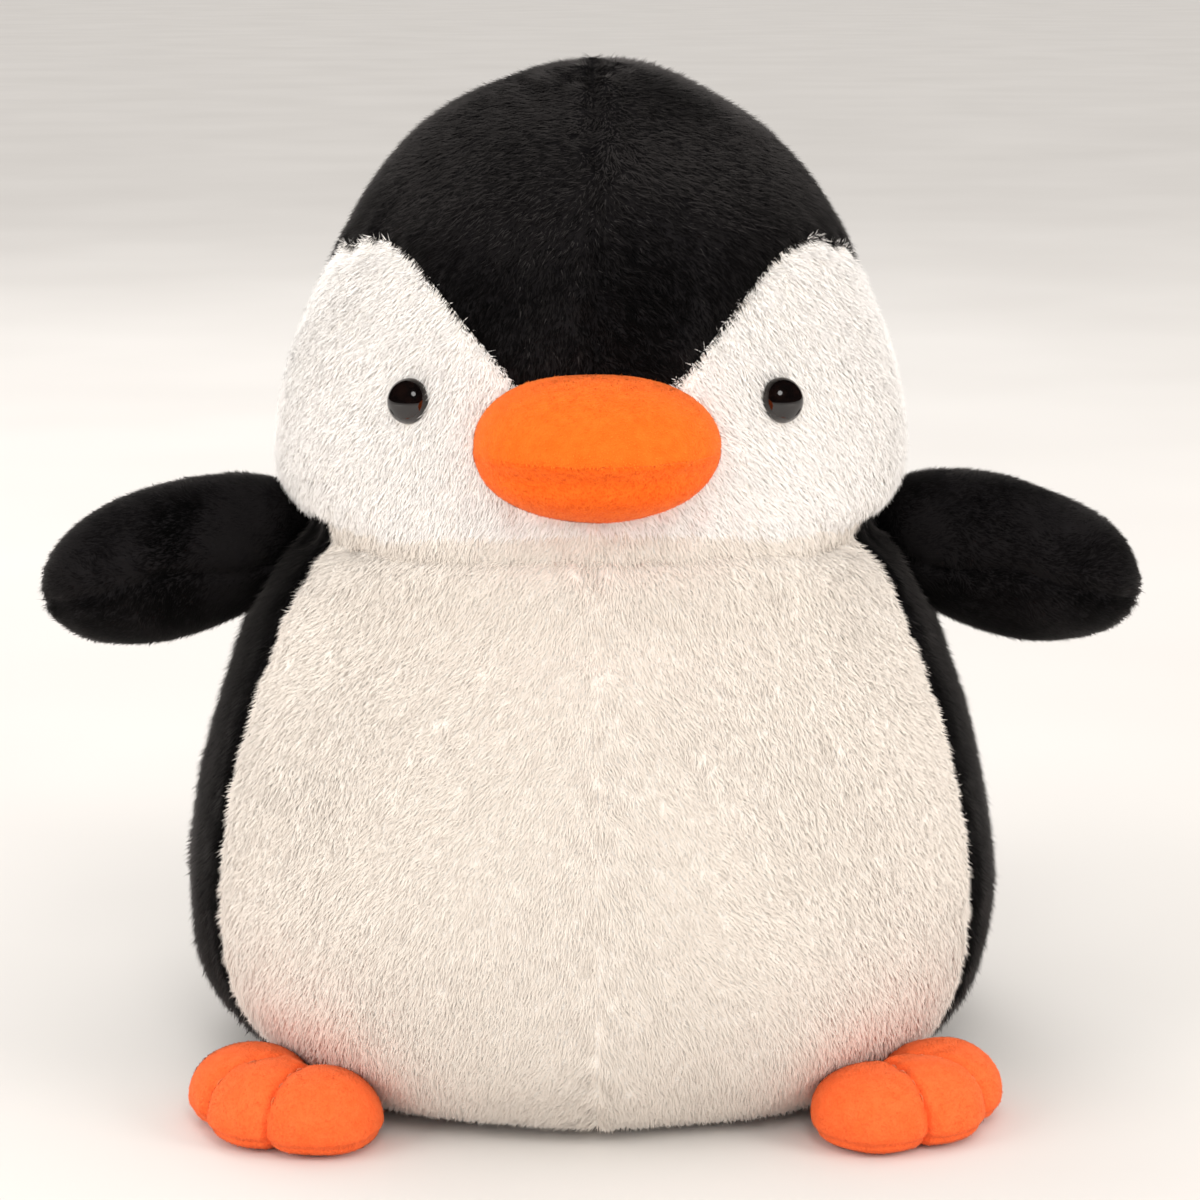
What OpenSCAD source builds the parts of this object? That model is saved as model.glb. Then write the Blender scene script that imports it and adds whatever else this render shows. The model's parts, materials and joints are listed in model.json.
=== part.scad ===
// Plush penguin: a stuffed toy with a round one-piece body and head, two stub wings,
// two three-toed feet, a two-panel beak and safety eyes.
// Millimetres. +Z is up and the toy faces -Y. The origin is the centre of its flat base.
// "left" and "right" are the toy's own: its left side is at +X.

/* [Body] */
// Height from the table to the crown
height = 325; // [300:1:350]
// Radius at the widest part of the hips
hip_r = 136; // [132:0.5:139]
// Height of the widest part of the hips
hip_z = 57; // [54:1:60]
// Radius of the flat base panel
base_r = 90; // [84:1:94]
// Radius in the crease of the neck seam
neck_r = 93; // [90:1:94]
// Height of the neck seam
neck_z = 175; // [172:1:178]
// Radius of the head at the cheeks
cheek_r = 105; // [102:0.5:106]
// Height of the fullest part of the cheeks
cheek_z = 195; // [193:1:200]

/* [Fabric] */
// Thickness of the long plush: backing and laid pile
plush_t = 4; // [3:0.5:5]
// Thickness of the short velboa on the beak and feet
velboa_t = 1.6; // [1.2:0.1:2]
// Width left open between two panels at a seam
seam_gap = 0.3; // [0.2:0.1:0.6]
// Half the angle that the white belly spans, seen from above
belly_half_angle = 65; // [60:1:70]
// Height where the black crown ends in a point, under the beak
crown_point_z = 204; // [200:1:208]
// Sideways place of the top of each white cheek
cheek_top_x = 68; // [64:1:70]
// Radius of the rounded top of each white cheek
cheek_top_r = 17; // [14:1:20]

/* [Eyes] */
// Diameter of the domed safety eye
eye_d = 14; // [12:0.5:16]
// Height of the eyes
eye_z = 226.5; // [224:0.5:230]
// Angle of each eye to the side of straight ahead
eye_angle = 35; // [32:1:38]
// Diameter of the eye's shank
shank_d = 4.8; // [4:0.2:5]

/* [Beak] */
// Width of the beak
beak_w = 73; // [70:1:76]
// Height of the beak
beak_h = 43; // [40:1:46]
// Height of the beak's ridge seam
beak_z = 213; // [211:0.5:215]
// Roundness of the beak: 2 is an ellipse, more is squarer
beak_power = 2.5; // [2.2:0.1:2.8]

/* [Wings] */
// Length of the whole wing, with its sewn root
wing_l = 84.5; // [78:0.5:90]
// Thickness of the stuffed wing
wing_d = 51.2; // [48:0.4:54]
// Droop of the wing below level
wing_droop = 16.5; // [14:0.5:20]
// Height of the wing's hinge line
wing_z = 172.8; // [171:0.2:175]
// Distance of the wing's hinge line from the body's axis
wing_x = 105; // [105:0.5:108]
// Angle by which the wing can lift
wing_lift = 50; // [30:1:50]
// Angle by which the wing can drop
wing_drop = 15; // [10:1:15]

/* [Feet] */
// Radius of each round toe
toe_r = 20.3; // [19:0.1:21]
// Sideways step from one toe to the next
toe_step = 15.5; // [14:0.5:16]
// Height of the foot
foot_h = 24; // [22:0.5:25]
// Angle of each foot to the side of straight ahead
foot_splay = 44; // [40:1:48]
// Distance of the foot's fold line from the body's axis
foot_fold_r = 129; // [128:0.5:131]
// Angle by which the toes can lift
foot_lift = 25; // [15:1:25]

/* [Hidden] */

LEFT = 1;
RIGHT = -1;
BIG = 400;                    // larger than the toy, for cutting tools
CURVE_STEPS = 10;             // straight pieces in each curved stretch of an outline
BEZIER_ROUND = 0.5523;        // handle length that makes a quarter of a circle
fit_gap = 0.2;                // play between fabric and what it is filled with
$fn = 96;

// Colours
BLACK = [0.09, 0.08, 0.085];
WHITE = [0.95, 0.93, 0.89];
ORANGE = [0.98, 0.47, 0.12];
FIBRE = [0.98, 0.98, 0.97];
EYE = [0.05, 0.03, 0.03];
WASHER = [0.85, 0.86, 0.86];

// Safety eye
eye_dome_h = 6;               // dome above its flange
eye_depth = 3;                // how far the flange sits below the pile
shank_l = 12;
washer_d = 13;
washer_t = 2;
washer_gap = 0.7;             // from the backing to the flat washer, as the backing curves away

// Beak: its centre lies inside the face, so that it shows a little more than half
beak_y = -97.5;

// Wing
wing_t = 3;                   // thickness of the wing's short black plush
wing_root = 6;                // hinge line to the end of the sewn root
wing_power = 2.15;
wing_edge_r = 4;              // half thickness of the flattened root
flank_slope = 58.5;           // steepest fall of the wing's underside before it meets the flank
jowl_slope = 75.5;            // steepest rise of the wing's upper side before it meets the cheek
wing_under_angle = flank_slope - wing_droop - wing_drop;
wing_over_angle = jowl_slope + wing_droop - wing_lift;

// Foot
toe_back = 9.5;               // outer toes' centres, outward from the fold line
toe_front = 15;               // middle toe's centre, outward from the fold line
toe_rim_z = 8;                // height of the toes' widest line
toe_flat = 8;                 // how far the flat sole stays inside the toes' widest line
fold_z = 2;                   // height of the fold line
fold_edge_r = 2;              // half thickness of the foot at the fold
belly_slope = 76;             // steepest instep before it meets the belly
instep_angle = belly_slope - foot_lift;

// Threads
thread_r = 0.45;
stitch_l = 4;

// ---------- curves ----------

function bezier(p, t) =
  pow(1 - t, 3) * p[0] + 3 * t * pow(1 - t, 2) * p[1] + 3 * t * t * (1 - t) * p[2] + pow(t, 3) * p[3];

function bezier_dir(p, t) =
  let (v = pow(1 - t, 2) * (p[1] - p[0]) + 2 * t * (1 - t) * (p[2] - p[1]) + t * t * (p[3] - p[2]))
  v / norm(v);

// A point of the curve moved inward by d; the curve runs upward with its solid on the left
function inset_point(p, t, d) = let (v = bezier_dir(p, t)) bezier(p, t) - d * [v[1], -v[0]];

function inset_curve(p, d) = [for (i = [0 : CURVE_STEPS]) inset_point(p, i / CURVE_STEPS, d)];

function polar(r, a) = r * [cos(a), sin(a)];

function arc(r, from, to) = [for (i = [0 : CURVE_STEPS]) polar(r, from + (to - from) * i / CURVE_STEPS)];

// The curve's parameter where coordinate k has a value, by halving; the curve only rises or only falls
function find_t(p, k, value, lo = 0, hi = 1, n = 20) =
  let (mid = (lo + hi) / 2, before = (bezier(p, mid)[k] < value) == (p[0][k] < p[3][k]))
  n == 0 ? mid : before ? find_t(p, k, value, mid, hi, n - 1) : find_t(p, k, value, lo, mid, n - 1);

// Half a superellipse from its lower pole to its upper pole, moved inward by d
function super_half(a, b, n, d) = [
  for (i = [-2 * CURVE_STEPS : 2 * CURVE_STEPS])
    let (t = 45 * i / CURVE_STEPS, c = abs(cos(t)), s = abs(sin(t)))
    [(a - d) * pow(c, 2 / n), sign(t) * (b - d) * pow(s, 2 / n)]
];

// ---------- the body as a whole ----------

hip_curve = [[base_r, 0], [base_r + 38, 0], [hip_r, hip_z - 31], [hip_r, hip_z]];
shoulder_curve = [[hip_r, hip_z], [hip_r, hip_z + 26], [neck_r + 23, neck_z - 8], [neck_r, neck_z]];
jowl_curve = [[neck_r, neck_z], [neck_r + 5, neck_z + 5], [cheek_r, cheek_z - 8], [cheek_r, cheek_z]];
crown_curve = [[cheek_r, cheek_z], [cheek_r, cheek_z + 42], [72, height], [0, height]];

function body_outline(d) = concat(
  [[0, d]],
  inset_curve(hip_curve, d),
  inset_curve(shoulder_curve, d),
  inset_curve(jowl_curve, d),
  inset_curve(crown_curve, d)
);

module body_solid(d = 0) {
  rotate_extrude() polygon(body_outline(d));
}

// The plush cover of the whole body, without its base panel
module body_cover() {
  difference() {
    body_solid();
    body_solid(plush_t);
    translate([0, 0, -1]) cylinder(r = base_r + seam_gap, h = plush_t + 1);
  }
}

// Everything on one side of the centre seam
module half_space(side) {
  translate([side * (BIG / 2 + seam_gap / 2), 0, 0]) cube([BIG, BIG, 2 * BIG], center = true);
}

module above_neck() {
  translate([0, 0, neck_z + seam_gap / 2 + BIG / 2]) cube([BIG, BIG, BIG], center = true);
}

module below_neck() {
  translate([0, 0, neck_z - seam_gap / 2 - BIG / 2]) cube([BIG, BIG, BIG], center = true);
}

// The wedge in front of the side seams; grow widens it at each seam
module belly_wedge(grow) {
  far_x = BIG * sin(belly_half_angle);
  far_y = -BIG * cos(belly_half_angle);
  translate([0, grow / 2, -1]) linear_extrude(BIG)
    polygon([[0, 0], [-far_x, far_y], [-far_x, -BIG], [far_x, -BIG], [far_x, far_y]]);
}

// ---------- cheek outline ----------

cheek_top_z = 254.5;          // centre of the rounded top of the cheek
cheek_side_y = -30;           // centre of the rounded back of the cheek, seen from the side
cheek_side_z = 217;
cheek_side_r = 51;

// Seen from the front: under the V of the crown, round the top, and out to the side
function cheek_front_outline(grow) =
  let (
    away = [cheek_top_x, cheek_top_z - crown_point_z],
    slope = atan2(away[1], away[0]) + asin(cheek_top_r / norm(away)),
    start = slope + 90,
    stop = 60
  )
  concat(
    [[0, neck_z], [0, crown_point_z + grow]],
    [for (p = arc(cheek_top_r + grow, start, stop)) [cheek_top_x, cheek_top_z] + p],
    [[BIG / 2, cheek_top_z + grow], [BIG / 2, neck_z]]
  );

// The space taken by both cheeks
module cheek_space(grow) {
  intersection() {
    union() {
      for (side = [0, 1]) mirror([side, 0, 0])
        rotate([90, 0, 0]) linear_extrude(BIG, center = true) polygon(cheek_front_outline(grow));
    }
    rotate([90, 0, 90]) linear_extrude(BIG, center = true) union() {
      translate([cheek_side_y, cheek_side_z]) circle(r = cheek_side_r + grow);
      translate([cheek_side_y - BIG, 0]) square([BIG, BIG]);
    }
  }
}

// ---------- eyes ----------

// Moves its children from an upright frame, with the pile at z = 0, to the place of an eye,
// square to the head there
module at_eye(side) {
  t = find_t(crown_curve, 1, eye_z);
  eye_r = bezier(crown_curve, t)[0];
  dir = bezier_dir(crown_curve, t);
  eye_tilt = atan2(-dir[0], dir[1]);
  rotate([0, 0, side * eye_angle]) translate([0, -eye_r, eye_z]) rotate([90 - eye_tilt, 0, 0])
    children();
}

module eye_button(side) {
  color(EYE) at_eye(side) translate([0, 0, -eye_depth]) {
    rotate_extrude() polygon(concat(
      [[0, -0.8], [eye_d / 2 - 0.8, -0.8]],
      [for (i = [0 : CURVE_STEPS])
        let (a = 90 * i / CURVE_STEPS) [eye_d / 2 * cos(a), eye_dome_h * sin(a)]]
    ));
    translate([0, 0, -shank_l]) cylinder(d = shank_d, h = shank_l);
  }
}

module eye_washer(side) {
  color(WASHER) at_eye(side) translate([0, 0, -plush_t - washer_gap - washer_t]) difference() {
    cylinder(d = washer_d, h = washer_t);
    translate([0, 0, -1]) cylinder(d = shank_d + 0.1, h = washer_t + 2);
  }
}

// Room for the eye in the pile, and for its shank through the backing
module eye_hole(side) {
  at_eye(side) {
    translate([0, 0, -eye_depth - 0.9]) cylinder(d = eye_d + 2 * fit_gap, h = BIG / 10);
    translate([0, 0, -BIG / 10]) cylinder(d = shank_d + 2 * fit_gap, h = BIG / 10);
  }
}

// Room for the washer and the shank in the filling
module washer_pocket(side) {
  at_eye(side) {
    translate([0, 0, -plush_t - washer_gap - washer_t - fit_gap])
      cylinder(d = washer_d + 2 * fit_gap, h = BIG / 10);
    translate([0, 0, -eye_depth - shank_l - fit_gap])
      cylinder(d = shank_d + 2 * fit_gap, h = shank_l + fit_gap);
  }
}

// ---------- body pieces ----------

module body_stuffing() {
  color(FIBRE) difference() {
    body_solid(plush_t + fit_gap);
    washer_pocket(LEFT);
    washer_pocket(RIGHT);
  }
}

module base_panel() {
  color(WHITE) cylinder(r = base_r, h = plush_t);
}

module belly_panel(side) {
  color(WHITE) intersection() {
    body_cover();
    below_neck();
    half_space(side);
    belly_wedge(0);
  }
}

module back_panel(side) {
  color(BLACK) difference() {
    intersection() {
      body_cover();
      below_neck();
      half_space(side);
    }
    belly_wedge(2 * seam_gap);
  }
}

module cheek_panel(side) {
  color(WHITE) difference() {
    intersection() {
      body_cover();
      above_neck();
      half_space(side);
      cheek_space(0);
    }
    eye_hole(side);
  }
}

module crown_panel(side) {
  color(BLACK) difference() {
    intersection() {
      body_cover();
      above_neck();
      half_space(side);
    }
    cheek_space(seam_gap);
  }
}

// Ladder stitches that close the stuffing opening, low on the centre back seam
module closing_seam_thread() {
  stitches = 9;
  pitch = 6;
  first_z = 70;
  color(BLACK) for (i = [0 : stitches - 1]) {
    z = first_z + pitch * i;
    pile_r = bezier(shoulder_curve, find_t(shoulder_curve, 1, z))[0];
    translate([0, pile_r + thread_r + fit_gap, z]) rotate([0, 90, 0])
      cylinder(r = thread_r, h = stitch_l, center = true, $fn = 16);
  }
}

// ---------- beak ----------

module beak_solid(d) {
  translate([0, beak_y, beak_z]) rotate([0, 0, 90]) rotate_extrude()
    polygon(super_half(beak_w / 2, beak_h / 2, beak_power, d));
}

// Half of the beak's cover, above the ridge seam (up = 1) or below it (up = -1)
module beak_panel(up) {
  color(ORANGE) intersection() {
    difference() {
      beak_solid(0);
      beak_solid(velboa_t);
      body_solid(-fit_gap);
    }
    translate([0, 0, beak_z + up * (BIG + seam_gap) / 2]) cube(BIG, center = true);
  }
}

module beak_stuffing() {
  color(FIBRE) difference() {
    beak_solid(velboa_t + fit_gap);
    body_solid(-fit_gap);
  }
}

// ---------- wings ----------

// From a frame with its origin on the hinge line and +X along the wing
module at_wing(side) {
  mirror([side == LEFT ? 0 : 1, 0, 0]) translate([wing_x, 0, wing_z]) rotate([0, wing_droop, 0])
    children();
}

// The flattened root: the space between two planes that touch the rounded sewn edge
module wing_root_space(d) {
  r = wing_edge_r - d;
  rotate([90, 0, 0]) linear_extrude(BIG, center = true) polygon(concat(
    [polar(r, 270 - wing_under_angle) + polar(BIG, -wing_under_angle)],
    [polar(r, 90 + wing_over_angle) + polar(BIG, wing_over_angle)],
    arc(r, 90 + wing_over_angle, 270 - wing_under_angle)
  ));
}

module wing_solid(d) {
  intersection() {
    translate([wing_l / 2 - wing_root, 0, 0]) rotate([0, 90, 0]) rotate_extrude()
      polygon(super_half(wing_d / 2, wing_l / 2, wing_power, d));
    wing_root_space(d);
  }
}

// Half of the wing's cover, above the edge seam (up = 1) or below it (up = -1)
module wing_panel(side, up) {
  color(BLACK) at_wing(side) intersection() {
    difference() {
      wing_solid(0);
      wing_solid(wing_t);
    }
    translate([0, 0, up * (BIG + seam_gap) / 2]) cube(BIG, center = true);
  }
}

module wing_stuffing(side) {
  color(FIBRE) at_wing(side) wing_solid(wing_t + fit_gap);
}

// ---------- feet ----------

// From a frame with its origin under the fold line and +X outward along the foot
module at_foot(side) {
  rotate([0, 0, side * foot_splay - 90]) translate([foot_fold_r, 0, 0]) children();
}

toe_low_curve = [[toe_r - toe_flat, 0], [toe_r - toe_flat * (1 - BEZIER_ROUND), 0],
                 [toe_r, toe_rim_z * (1 - BEZIER_ROUND)], [toe_r, toe_rim_z]];
toe_top_curve = [[toe_r, toe_rim_z], [toe_r, foot_h - 6], [0.6 * toe_r, foot_h], [0, foot_h]];

module toe(d) {
  rotate_extrude()
    polygon(concat([[0, d]], inset_curve(toe_low_curve, d), inset_curve(toe_top_curve, d)));
}

// Space in front of the rounded fold edge and under the slope of the instep
module instep_space(d) {
  r = fold_edge_r - d;
  translate([0, 0, fold_z]) rotate([90, 0, 0]) linear_extrude(BIG, center = true) polygon(concat(
    [[-r, -fold_z - 1], [BIG, -fold_z - 1]],
    [polar(r, 90 + instep_angle) + polar(BIG, instep_angle)],
    arc(r, 90 + instep_angle, 180)
  ));
}

toe_centres = [[toe_back, -toe_step], [toe_front, 0], [toe_back, toe_step]];

module foot_solid(d) {
  intersection() {
    union() {
      for (c = toe_centres) translate([c[0], c[1], 0]) toe(d);
    }
    instep_space(d);
  }
}

module foot_sole(side) {
  color(ORANGE) at_foot(side) intersection() {
    foot_solid(0);
    translate([0, 0, velboa_t / 2]) cube([BIG, BIG, velboa_t], center = true);
  }
}

module foot_top_panel(side) {
  color(ORANGE) at_foot(side) difference() {
    foot_solid(0);
    foot_solid(velboa_t);
    cube([BIG, BIG, 2 * (velboa_t + seam_gap)], center = true);
  }
}

module foot_stuffing(side) {
  color(FIBRE) at_foot(side) difference() {
    foot_solid(velboa_t + fit_gap);
    cube([BIG, BIG, 2 * (velboa_t + fit_gap)], center = true);
  }
}

// Height of the toes' top at distance rho from a toe's centre
function toe_top_z(rho) = bezier(toe_top_curve, find_t(toe_top_curve, 0, rho))[1];

// The stitched creases between the toes, as short stitches along each valley
module toe_thread(side) {
  step = [toe_front - toe_back, toe_step];
  half = norm(step) / 2;
  along = [step[1], step[0]] / norm(step);
  middle = [toe_back + step[0] / 2, step[1] / 2];
  places = [4, 10];
  color(ORANGE) at_foot(side) for (hand = [-1, 1], k = places) {
    p = middle + k * along;
    z = toe_top_z(norm([half, k]));
    fall = atan2(toe_top_z(norm([half, k - 1])) - toe_top_z(norm([half, k + 1])), 2);
    translate([p[0], hand * p[1], z + thread_r + 2 * fit_gap])
      rotate([0, 0, hand * atan2(along[1], along[0])]) rotate([0, 90 + fall, 0])
        cylinder(r = thread_r, h = stitch_l, center = true, $fn = 16);
  }
}

body_stuffing();
base_panel();
belly_panel(LEFT);  // belly_panel_left
belly_panel(RIGHT);  // belly_panel_right
back_panel(LEFT);  // back_panel_left
back_panel(RIGHT);  // back_panel_right
cheek_panel(LEFT);  // cheek_panel_left
cheek_panel(RIGHT);  // cheek_panel_right
crown_panel(LEFT);  // crown_panel_left
crown_panel(RIGHT);  // crown_panel_right
closing_seam_thread();
beak_panel(1);  // beak_upper_panel
beak_panel(-1);  // beak_lower_panel
beak_stuffing();
eye_button(LEFT);  // eye_left
eye_button(RIGHT);  // eye_right
eye_washer(LEFT);  // eye_washer_left
eye_washer(RIGHT);  // eye_washer_right
wing_panel(LEFT, 1);  // wing_upper_panel_left
wing_panel(LEFT, -1);  // wing_lower_panel_left
wing_stuffing(LEFT);  // wing_stuffing_left
wing_panel(RIGHT, 1);  // wing_upper_panel_right
wing_panel(RIGHT, -1);  // wing_lower_panel_right
wing_stuffing(RIGHT);  // wing_stuffing_right
foot_top_panel(LEFT);  // foot_top_panel_left
foot_sole(LEFT);  // foot_sole_left
foot_stuffing(LEFT);  // foot_stuffing_left
toe_thread(LEFT);  // toe_thread_left
foot_top_panel(RIGHT);  // foot_top_panel_right
foot_sole(RIGHT);  // foot_sole_right
foot_stuffing(RIGHT);  // foot_stuffing_right
toe_thread(RIGHT);  // toe_thread_right
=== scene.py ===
import json
import math

import bpy
import numpy as np
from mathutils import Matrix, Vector


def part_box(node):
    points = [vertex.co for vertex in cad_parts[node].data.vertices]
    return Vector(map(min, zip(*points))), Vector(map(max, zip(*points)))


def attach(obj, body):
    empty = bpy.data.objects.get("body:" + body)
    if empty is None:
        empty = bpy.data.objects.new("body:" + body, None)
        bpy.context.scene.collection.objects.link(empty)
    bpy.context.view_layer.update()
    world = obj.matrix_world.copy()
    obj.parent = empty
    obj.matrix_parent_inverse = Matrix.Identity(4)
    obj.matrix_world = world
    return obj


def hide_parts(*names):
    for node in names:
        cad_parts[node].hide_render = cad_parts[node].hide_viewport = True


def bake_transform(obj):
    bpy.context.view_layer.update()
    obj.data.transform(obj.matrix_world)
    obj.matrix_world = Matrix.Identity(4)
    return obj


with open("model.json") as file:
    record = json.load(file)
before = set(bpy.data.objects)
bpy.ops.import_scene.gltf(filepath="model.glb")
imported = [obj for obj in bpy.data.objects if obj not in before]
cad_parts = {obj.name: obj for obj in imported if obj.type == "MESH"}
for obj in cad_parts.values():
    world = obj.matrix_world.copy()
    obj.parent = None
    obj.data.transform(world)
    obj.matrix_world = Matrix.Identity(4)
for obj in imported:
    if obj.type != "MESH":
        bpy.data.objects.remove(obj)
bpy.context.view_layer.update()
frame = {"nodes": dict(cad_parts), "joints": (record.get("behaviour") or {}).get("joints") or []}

MM = 0.001
SIDES = {"left": 1, "right": -1}  # the toy's own left is at +X
UP = np.array([0.0, 0.0, 1.0])

# ---------- sizes, from the frame where it gives them ----------

BASE_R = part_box("base_panel")[1].x
HIP_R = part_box("back_panel_left")[1].x
HIP_Z = 57 * MM
NECK_R = 93 * MM
NECK_Z = (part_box("belly_panel_left")[1].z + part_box("cheek_panel_left")[0].z) / 2
CHEEK_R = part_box("cheek_panel_left")[1].x
CHEEK_Z = 195 * MM
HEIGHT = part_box("crown_panel_left")[1].z
BELLY_HALF = math.radians(65)  # half the angle that the white belly spans

SKIN = 1.2 * MM  # thickness of a panel's backing cloth
PILE = 3 * MM  # height of the pile, from the backing to the CAD surface

CROWN_POINT_Z = 204 * MM  # the crown's point, under the beak
CHEEK_SLOPE = math.radians(48.2)  # rise of the cheek's inner edge, seen from the front
CHEEK_TOP = (60.1 * MM, 271.2 * MM)  # corner between the cheek's inner and top edges
CHEEK_FALL = 0.119  # fall of the top edge towards the side
CHEEK_BACK = (-30 * MM, 217 * MM)  # centre of the cheek's round back edge, seen from the side
CHEEK_BACK_R = 51 * MM

EYE_R = 7 * MM
EYE_Z = 226.5 * MM
EYE_ANGLE = math.radians(35)
EYE_SUNK = 3 * MM  # the eye's rim below the CAD surface
EYE_DOME = 6 * MM
SHANK_R = 2.4 * MM
SHANK_L = 12 * MM

BEAK_LOW, BEAK_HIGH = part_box("beak_lower_panel")[0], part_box("beak_upper_panel")[1]
BEAK_A = (BEAK_HIGH.x - BEAK_LOW.x) / 2
BEAK_B = (BEAK_HIGH.z - BEAK_LOW.z) / 2
BEAK_POWER = 2.2  # 2 is an ellipse, and more is squarer
BEAK_CENTRE = np.array([0, BEAK_LOW.y + BEAK_A, (BEAK_HIGH.z + BEAK_LOW.z) / 2])

WING_DROOP = math.radians(18)
WING_SAG = 1.5 * MM  # the soft wing hangs a little below its hinge
WING_R = 25.6 * MM
WING_MIDDLE = 36.25 * MM  # hinge line to the wing's fullest place
WING_OUT = 42.25 * MM  # fullest place to the tip
WING_IN = 52 * MM  # fullest place to the end inside the body
WING_POWER = 2.15

FOOT_SPLAY = math.radians(44)
FOOT_FOLD_R = 129 * MM
TOE_R = 20.3 * MM
TOES = ((9.5 * MM, -15.5 * MM), (15 * MM, 0), (9.5 * MM, 15.5 * MM))
FOOT_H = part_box("foot_top_panel_left")[1].z
TOE_RIM_Z = 8 * MM
FOOT_SEAM_Z = 4.5 * MM


# ---------- small helpers ----------

def smoothstep(a, b, x):
    t = np.clip((x - a) / (b - a), 0, 1)
    return t * t * (3 - 2 * t)


def smooth_min(a, b, k):
    h = np.clip(0.5 + 0.5 * (b - a) / k, 0, 1)
    return b + (a - b) * h - k * h * (1 - h)


def unit(v):
    return v / np.maximum(np.linalg.norm(v, axis=-1, keepdims=True), 1e-12)


def along_surface(v, normal):
    """The part of a vector that lies in the surface."""
    return v - normal * (v * normal).sum(-1, keepdims=True)


def waves(p, length, seed, count=20):
    """Smooth seeded noise about zero with a spread of about one, that varies over that length."""
    rng = np.random.default_rng(seed)
    k = unit(rng.normal(size=(count, 3))) * 2 * math.pi / length * rng.uniform(0.6, 1.4, (count, 1))
    phase = rng.uniform(0, 2 * math.pi, count)
    return np.cos(p @ k.T + phase).sum(-1) * math.sqrt(2 / count)


def wave_vectors(p, length, seed):
    return np.stack([waves(p, length, seed + i) for i in range(3)], -1)


def hollow(distance, depth, width):
    """The depth of a groove at a distance from its middle, which falls off over that width."""
    return depth * np.exp(-(distance / width) ** 2)


def fan(faces):
    """The faces as triangles."""
    return np.array([(f[0], f[i], f[i + 1]) for f in faces for i in range(1, len(f) - 1)])


def corner_crosses(points, t):
    """For each triangle a vector along its normal, twice as long as its area."""
    return np.cross(points[t[:, 1]] - points[t[:, 0]], points[t[:, 2]] - points[t[:, 0]])


def vertex_normals(points, faces):
    t = fan(faces)
    across = corner_crosses(points, t)
    total = np.zeros_like(points)
    for i in range(3):
        np.add.at(total, t[:, i], across)
    return unit(total)


def grid_faces(rows, columns, wrap):
    """Quads of a grid whose points run along each row in turn.
    wrap joins the last column to the first."""
    wide = columns if wrap else columns - 1
    quads = []
    for i in range(rows - 1):
        for j in range(wide):
            k = (j + 1) % columns
            row, after = i * columns, (i + 1) * columns
            quads.append((row + j, row + k, after + k, after + j))
    return quads


def capped_grid(rows, columns, wrap=True):
    """Faces of a grid whose first and last rows each run to a point, added after the grid in that order."""
    n = rows * columns
    last = n - columns
    pairs = [(j, (j + 1) % columns) for j in range(columns if wrap else columns - 1)]
    faces = grid_faces(rows, columns, wrap)
    faces += [(k, j, n) for j, k in pairs]
    return faces + [(last + j, last + k, n + 1) for j, k in pairs]


def used_only(points, faces):
    """Leaves out the points that no face uses."""
    keep = sorted({i for f in faces for i in f})
    place = {old: new for new, old in enumerate(keep)}
    return points[keep], [tuple(place[i] for i in f) for f in faces]


def facing_out(points, faces, centre):
    """The faces, turned over if they look towards the centre."""
    t = fan(faces)
    outward = (corner_crosses(points, t) * (points[t].mean(1) - centre)).sum() > 0
    return faces if outward else [tuple(reversed(f)) for f in faces]


def split(points, faces, values):
    """Cuts the faces along the line where the values change sign.
    Gives the points, the faces above zero and the faces below."""
    points = list(points)
    cuts = {}
    above, below = [], []

    def cut(a, b):
        key = (min(a, b), max(a, b))
        if key not in cuts:
            share = values[a] / (values[a] - values[b])
            cuts[key] = len(points)
            points.append(points[a] + share * (points[b] - points[a]))
        return cuts[key]

    for face in faces:
        high = [values[i] > 0 for i in face]
        if all(high) or not any(high):
            (above if high[0] else below).append(face)
            continue
        for wanted, kept in ((True, above), (False, below)):
            ring = []
            for i, a in enumerate(face):
                b = face[(i + 1) % len(face)]
                if high[i] == wanted:
                    ring.append(a)
                if high[i] != (values[b] > 0):
                    ring.append(cut(a, b))
            kept.append(tuple(ring))
    return np.array(points), above, below


def shell(points, faces, thick):
    """A closed solid of that thickness behind a sheet of faces."""
    n = len(points)
    inner = points - thick * vertex_normals(points, faces)
    edges = {(f[i], f[(i + 1) % len(f)]) for f in faces for i in range(len(f))}
    rim = [(b, a, a + n, b + n) for a, b in edges if (b, a) not in edges]
    back = [tuple(i + n for i in reversed(f)) for f in faces]
    return np.vstack([points, inner]), list(faces) + back + sorted(rim)


SHARP_EDGE = math.radians(50)  # a fold sharper than this is shaded as an edge


def piece(name, points, faces, material, slot):
    """A new smooth object, with its material. slot is not used."""
    mesh = bpy.data.meshes.new(name)
    mesh.from_pydata(points.tolist(), [], faces)
    mesh.polygons.foreach_set("use_smooth", [True] * len(mesh.polygons))
    mesh.set_sharp_from_angle(angle=SHARP_EDGE)
    mesh.materials.append(material)
    mesh.update()
    made = bpy.data.objects.new(name, mesh)
    bpy.context.scene.collection.objects.link(made)
    return made


# ---------- materials ----------

def new_material(name, roughness, **constants):
    """A material and its shader node; constants are the shader's own sockets."""
    material = bpy.data.materials.new(name)
    material.use_nodes = True
    shader = material.node_tree.nodes["Principled BSDF"]
    shader.inputs["Roughness"].default_value = roughness
    for socket, value in constants.items():
        shader.inputs[socket.replace("_", " ")].default_value = value
    return material, shader


def add(material, kind, **settings):
    """A new node; a setting is one of its inputs by name, or else one of its properties."""
    node = material.node_tree.nodes.new(kind)
    for key, value in settings.items():
        if key in node.inputs:
            node.inputs[key].default_value = value
        else:
            setattr(node, key, value)
    return node


def join(material, a, out, b, into):
    material.node_tree.links.new(a.outputs[out], b.inputs[into])


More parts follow.
